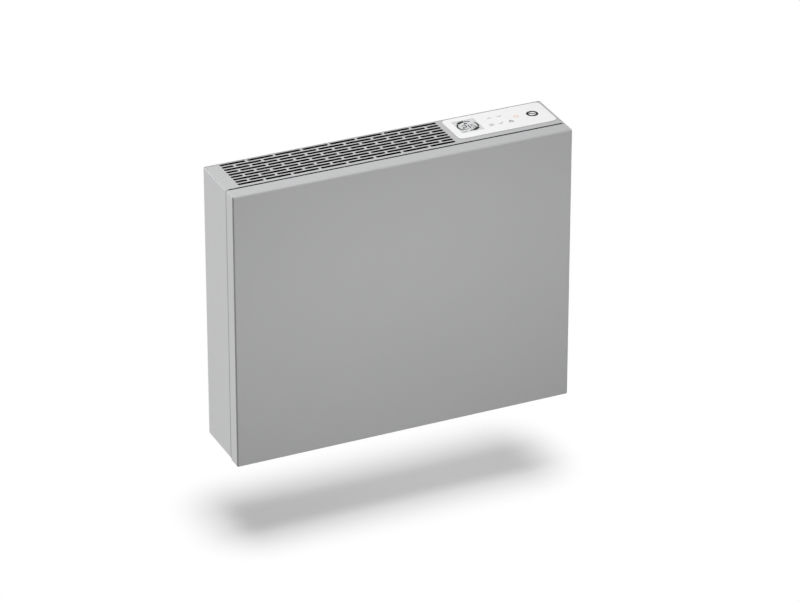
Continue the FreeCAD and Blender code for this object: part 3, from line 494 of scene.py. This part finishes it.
def thicken_film():
    """Raises the flat shape being edited into a closed film and returns to object mode."""
    bpy.ops.mesh.select_all(action="SELECT")
    bpy.ops.mesh.extrude_region_move(TRANSFORM_OT_translate={"value": (0, 0, FILM)})
    bpy.ops.mesh.select_all(action="SELECT")
    bpy.ops.mesh.remove_doubles(threshold=0.001 * MM)
    bpy.ops.mesh.normals_make_consistent(inside=False)
    bpy.ops.object.mode_set(mode="OBJECT")
    bpy.ops.object.transform_apply(location=True, rotation=True, scale=True)
    return bpy.context.object


def bar(start, end, z, width=STROKE):
    """A straight printed stroke with rounded corners."""
    begin()
    start, end = Vector(start), Vector(end)
    run = end - start
    bpy.ops.mesh.primitive_plane_add(size=1, location=(0, 0, 0))
    bpy.ops.object.mode_set(mode="EDIT")
    bpy.ops.transform.resize(value=(run.length + width, width, 1))
    bpy.ops.mesh.bevel(offset=width * 0.35, segments=3, affect="VERTICES")
    bpy.ops.object.mode_set(mode="OBJECT")
    bpy.context.object.rotation_euler.z = math.atan2(run.y, run.x)
    bpy.context.object.location = (*((start + end) / 2), z)
    bpy.ops.object.transform_apply(location=True, rotation=True, scale=True)
    bpy.ops.object.mode_set(mode="EDIT")
    return thicken_film()


def arc(centre, inner, outer, first, last, z):
    """A printed ring segment between two angles in degrees, spun from one short edge."""
    begin()
    turn = math.radians(last - first)
    steps = max(4, round(abs(last - first) / 6))
    ahead = Vector((math.cos(math.radians(first)), math.sin(math.radians(first))))
    bpy.ops.mesh.primitive_plane_add(size=outer - inner, location=(0, 0, 0))
    piece = bpy.context.object
    bpy.ops.object.mode_set(mode="EDIT")
    bpy.ops.mesh.select_mode(type="VERT")
    bpy.ops.mesh.select_all(action="DESELECT")
    bpy.ops.object.mode_set(mode="OBJECT")
    for vertex in piece.data.vertices:
        vertex.select = vertex.co.y > 0
    bpy.ops.object.mode_set(mode="EDIT")
    bpy.ops.mesh.delete(type="VERT")
    bpy.ops.mesh.select_all(action="SELECT")
    bpy.ops.transform.translate(value=(0, (outer - inner) / 2, 0))
    bpy.ops.object.mode_set(mode="OBJECT")
    piece.rotation_euler.z = math.radians(first)
    piece.location = (*(Vector(centre) + ahead * (inner + outer) / 2), z)
    bpy.ops.object.transform_apply(location=True, rotation=True, scale=True)
    bpy.ops.object.mode_set(mode="EDIT")
    bpy.ops.mesh.select_all(action="SELECT")
    # Spin turns clockwise for a positive angle.
    bpy.ops.mesh.spin(steps=steps, angle=-turn, center=(*centre, z), axis=(0, 0, 1))
    return thicken_film()


def joined(name, parts, finish, body):
    """Joins parts into one named piece that rides on a body."""
    begin()
    for part in parts:
        part.select_set(True)
    bpy.context.view_layer.objects.active = parts[0]
    if len(parts) > 1:
        bpy.ops.object.join()
    piece = bpy.context.object
    piece.name = name
    piece.data.name = name
    piece.data.materials.clear()
    piece.data.materials.append(finish)
    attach(piece, body)
    return piece


# Control plate and display.

PLATE_LOW, PLATE_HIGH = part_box("control_plate")
LENS_LOW, LENS_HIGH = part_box("display_lens")
PLATE_Z = PLATE_HIGH.z - FILM_SINK
LENS_Z = LENS_HIGH.z - FILM_SINK

# Places of the signs in millimetres right of the plate's left edge and behind its front edge.
KEY_PITCH = 18.5
FRONT_KEYS = (73.0, 28.5)
BACK_KEYS = (80.5, 53.5)
POWER_PLACE = (126.0, 41.0)
SENSOR_PLACE = (156.0, 40.0)

# Inner and outer radii of the printed rings.
SHACKLE = (1.9 * MM, 2.8 * MM)
POWER_RING = (3.6 * MM, 4.6 * MM)
SENSOR_RING = (6.3 * MM, 10.6 * MM)


def on_plate(right, back):
    """A place on the plate, in millimetres from its front left corner."""
    return Vector((PLATE_LOW.x + right * MM, PLATE_LOW.y + back * MM))


def strokes(centre, lines, z, width=STROKE):
    """Bars along lines given in millimetres about a centre."""
    return [bar(centre + Vector(a) * MM, centre + Vector(b) * MM, z, width) for a, b in lines]


def key_row(first, count):
    """Centres of a row of touch keys."""
    return [on_plate(first[0] + key * KEY_PITCH, first[1]) for key in range(count)]


def key_signs():
    up, down = key_row(BACK_KEYS, 2)
    menu, tick, lock = key_row(FRONT_KEYS, 3)
    chevron = [((-4, -1.6), (0, 1.8)), ((0, 1.8), (4, -1.6))]
    dip = [((-4, 1.8), (0, -1.6)), ((0, -1.6), (4, 1.8))]
    rows = [((-4, y), (4, y)) for y in (-3, 0, 3)]
    check = [((-4, 0.2), (-1.2, -2.8)), ((-1.2, -2.8), (4, 3.2))]
    case = [((-3.4, -3.6), (3.4, -3.6)), ((3.4, -3.6), (3.4, 0.8)), ((3.4, 0.8), (-3.4, 0.8)),
            ((-3.4, 0.8), (-3.4, -3.6))]
    pale = strokes(up, chevron, PLATE_Z) + strokes(down, dip, PLATE_Z) + strokes(menu, rows, PLATE_Z)
    joined("key_signs_pale", pale, SIGN_PALE, "heater")
    dark = strokes(tick, check, PLATE_Z) + strokes(lock, case, PLATE_Z)
    dark.append(arc(lock + Vector((0, 0.8)) * MM, *SHACKLE, 0, 180, PLATE_Z))
    joined("key_signs_grey", dark, SIGN_GREY, "heater")


def power_sign():
    centre = on_plate(*POWER_PLACE)
    sign = [arc(centre, *POWER_RING, 120, 420, PLATE_Z)]
    sign += strokes(centre, [((0, 1.4), (0, 5.2))], PLATE_Z)
    joined("power_sign", sign, SIGN_ORANGE, "heater")


def sensor_window():
    """A round dark ring with a slanting mark in it, round the room sensor."""
    centre = on_plate(*SENSOR_PLACE)
    ring = arc(centre, *SENSOR_RING, 0, 360, PLATE_Z)
    joined("sensor_ring", [ring], SEGMENT_DARK, "heater")
    mark = strokes(centre, [((-3.4, 3.0), (3.2, -2.6))], PLATE_Z, 3.0 * MM)
    joined("sensor_core", mark, SEGMENT_DARK, "heater")


SEGMENTS = {
    "a": ((-1, 2), (1, 2)), "b": ((1, 2), (1, 0)), "c": ((1, 0), (1, -2)), "d": ((-1, -2), (1, -2)),
    "e": ((-1, 0), (-1, -2)), "f": ((-1, 2), (-1, 0)), "g": ((-1, 0), (1, 0)),
}
DIGITS = {"1": "bc", "2": "abged", "5": "afgcd"}


def digit(figure, centre, half_height, width):
    """A seven-segment figure about a centre, half_height in millimetres, with gaps at its corners."""
    reach = half_height / 2
    drawn_share = 0.72
    lines = []
    for name in DIGITS[figure]:
        a, b = (Vector(end) * reach for end in SEGMENTS[name])
        middle = (a + b) / 2
        lines.append((middle + (a - middle) * drawn_share, middle + (b - middle) * drawn_share))
    return strokes(centre, lines, LENS_Z, width)


def display_figures():
    """A round gauge with two bold ends, a two-figure reading with a small third figure, and an arrow."""
    centre = ((LENS_LOW + LENS_HIGH) / 2).to_2d()
    radius, bold, fine = 18.0 * MM, 3.0 * MM, 1.4 * MM
    thick, thin = 2.0 * MM, 1.6 * MM
    tall, short, row = 7.4, 5.6, -3.4
    gauge = [arc(centre, radius - bold, radius + bold, first, last, LENS_Z)
             for first, last in ((90, 136), (-82, -36))]
    gauge += [arc(centre, radius - fine, radius + fine, first, last, LENS_Z)
              for first, last in ((54, 88), (140, 222), (-100, -84), (-34, 28))]
    joined("display_gauge", gauge, SEGMENT_DARK, "heater")
    figures = digit("2", centre + Vector((-6.8, row)) * MM, tall, thick)
    figures += digit("1", centre + Vector((-2.2, row)) * MM, tall, thick)
    arrow = [((-2.2, 8.6), (0, 11.8)), ((0, 11.8), (2.2, 8.6)), ((2.2, 8.6), (-2.2, 8.6))]
    figures += strokes(centre, arrow, LENS_Z, thick)
    joined("display_digits", figures, SEGMENT_DARK, "heater")
    symbols = digit("5", centre + Vector((8.6, row)) * MM, short, thin)
    dash, point = ((-17, -19.6), (-11, -19.6)), ((5.0, -10.0), (5.4, -10.0))
    symbols += strokes(centre, [dash, point], LENS_Z, thin)
    joined("display_symbols", symbols, SEGMENT_GREY, "heater")


# Small pieces away from the plate.

def screw_places():
    """Centres of the casing screws' heads, on the casing's back."""
    low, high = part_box("casing_screws")
    step = (high.z - low.z - 2 * SCREW_HEAD) / (SCREW_ROWS - 1)
    return [Vector((x, high.y - SCREW_RISE, low.z + SCREW_HEAD + row * step))
            for x in (low.x + SCREW_HEAD, high.x - SCREW_HEAD) for row in range(SCREW_ROWS)]


def screw_head(place):
    """A round-edged head with a cross pressed into it, standing along +Y."""
    begin()
    bpy.ops.mesh.primitive_cylinder_add(vertices=32, radius=SCREW_HEAD, depth=SCREW_RISE,
                                        location=(0, 0, SCREW_RISE / 2))
    head = bpy.context.object
    bpy.ops.object.mode_set(mode="EDIT")
    bpy.ops.mesh.select_mode(type="FACE")
    bpy.ops.mesh.select_all(action="DESELECT")
    bpy.ops.object.mode_set(mode="OBJECT")
    top = max(head.data.polygons, key=lambda face: face.center.z)
    top.select = True
    bpy.ops.object.mode_set(mode="EDIT")
    bpy.ops.mesh.bevel(offset=SCREW_HEAD * 0.3, segments=3)
    bpy.ops.object.mode_set(mode="OBJECT")
    bpy.ops.object.transform_apply(location=True)
    for turn in (0, 90):
        begin()
        bpy.ops.mesh.primitive_cube_add(size=1, location=(0, 0, SCREW_RISE))
        cutter = bpy.context.object
        cutter.scale = (CROSS_LENGTH, CROSS_WIDTH, 2 * CROSS_DEPTH)
        cutter.rotation_euler.z = math.radians(turn)
        bpy.ops.object.transform_apply(location=True, rotation=True, scale=True)
        begin()
        head.select_set(True)
        bpy.context.view_layer.objects.active = head
        cut = head.modifiers.new("cross", "BOOLEAN")
        cut.operation = "DIFFERENCE"
        cut.object = cutter
        bpy.ops.object.modifier_apply(modifier=cut.name)
        bpy.data.objects.remove(cutter)
    begin()
    head.select_set(True)
    bpy.context.view_layer.objects.active = head
    head.rotation_euler.x = -math.radians(90)
    head.location = place
    bpy.ops.object.transform_apply(location=True, rotation=True, scale=True)
    return head


def screw_heads():
    heads = [screw_head(place) for place in screw_places()]
    piece = joined("screw_heads", heads, FINISHES["zinc_sheet"], "heater")
    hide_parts("casing_screws")


# Stage.

def aim(thing, target):
    thing.rotation_euler = (Vector(target) - thing.location).to_track_quat("-Z", "Y").to_euler()


def set_camera():
    bpy.ops.object.camera_add(location=CAMERA_PLACE)
    camera = bpy.context.object
    camera.rotation_euler = (math.radians(90 - CAMERA_DIP), 0, -math.radians(CAMERA_TURN))
    camera.data.sensor_width = SENSOR_MM
    camera.data.lens = SENSOR_MM * FOCAL_PIXELS / IMAGE_WIDTH
    camera.data.clip_end = 100
    bpy.context.scene.camera = camera


def set_lamps():
    for name, (place, target, (width, height), spread, power) in LAMPS.items():
        bpy.ops.object.light_add(type="AREA", location=place)
        lamp = bpy.context.object
        lamp.name = name
        lamp.visible_camera = False
        lamp.data.shape = "ELLIPSE"
        lamp.data.size = width
        lamp.data.size_y = height
        lamp.data.spread = math.radians(spread)
        lamp.data.energy = power
        aim(lamp, target)


def seen_rays(finish):
    """1 for rays that show the background itself: to the camera, in a mirror or through glass."""
    rays = [finish.node("LightPath", out=name) for name in
            ("Is Camera Ray", "Is Glossy Ray", "Is Transmission Ray")]
    return rays[0].most(rays[1]).most(rays[2])


def set_world():
    world = bpy.data.worlds.new("studio")
    world.use_nodes = True
    bpy.context.scene.world = world
    sky = Finish(world.node_tree)
    light = sky.node("Background", None, {"Color": (1, 1, 1, 1), "Strength": AMBIENT})
    white = sky.node("Background", None, {"Color": (1, 1, 1, 1), "Strength": 1.0})
    both = sky.node("MixShader", None, {0: seen_rays(sky), 1: light, 2: white})
    sky.plug(world.node_tree.nodes["World Output"], {"Surface": both})


def set_floor():
    """A pale floor that keeps the soft shadow under the heater and fades to white round it."""
    begin()
    floor_z = CAD_LOW.z - FLOOR_GAP
    bpy.ops.mesh.primitive_plane_add(size=2 * FLOOR_HALF, location=(0, 0, floor_z))
    floor = bpy.context.object
    floor.name = "studio_floor"
    bpy.ops.object.transform_apply(location=True)
    ground = new_finish("studio_floor")
    beside = (abs(ground.axis("X") - CAD_MIDDLE.x - SHADOW_SHIFT) - SHADOW_CORE[0]).most(0.0)
    before = (abs(ground.axis("Y") - CAD_MIDDLE.y) - SHADOW_CORE[1]).most(0.0)
    away = ground.between((beside * beside + before * before).root(), 0.0, SHADOW_FADE)
    whitened = SHADOW_PALE + (1 - SHADOW_PALE) * away
    seen = seen_rays(ground)
    # Painted shade: the floor is greyer towards the left, darkening that end of the shadow.
    left = ground.within(ground.axis("X"), *FLOOR_TURN)
    tint = ground.mix(seen, FLOOR_BOUNCE, ground.mix(left, FLOOR_PALE, FLOOR_LEFT_SHADE))
    pale = ground.node("BsdfDiffuse", None, {"Color": tint})
    white = ground.node("Emission", None, {"Color": (1, 1, 1, 1), "Strength": 1.0})
    clear = ground.node("BsdfTransparent")
    shown = ground.node("MixShader", None, {0: whitened * seen, 1: pale, 2: white})
    under = ground.node("NewGeometry", out="Backfacing")
    surface = ground.node("MixShader", None, {0: under, 1: shown, 2: clear})
    ground.plug(ground.tree.nodes["Material Output"], {"Surface": surface})
    floor.data.materials.append(ground.material)


def build():
    dress_nodes()
    key_signs()
    power_sign()
    sensor_window()
    display_figures()
    screw_heads()
    set_camera()
    set_lamps()
    set_world()
    set_floor()
    bpy.context.scene.view_settings.view_transform = "Standard"


build()
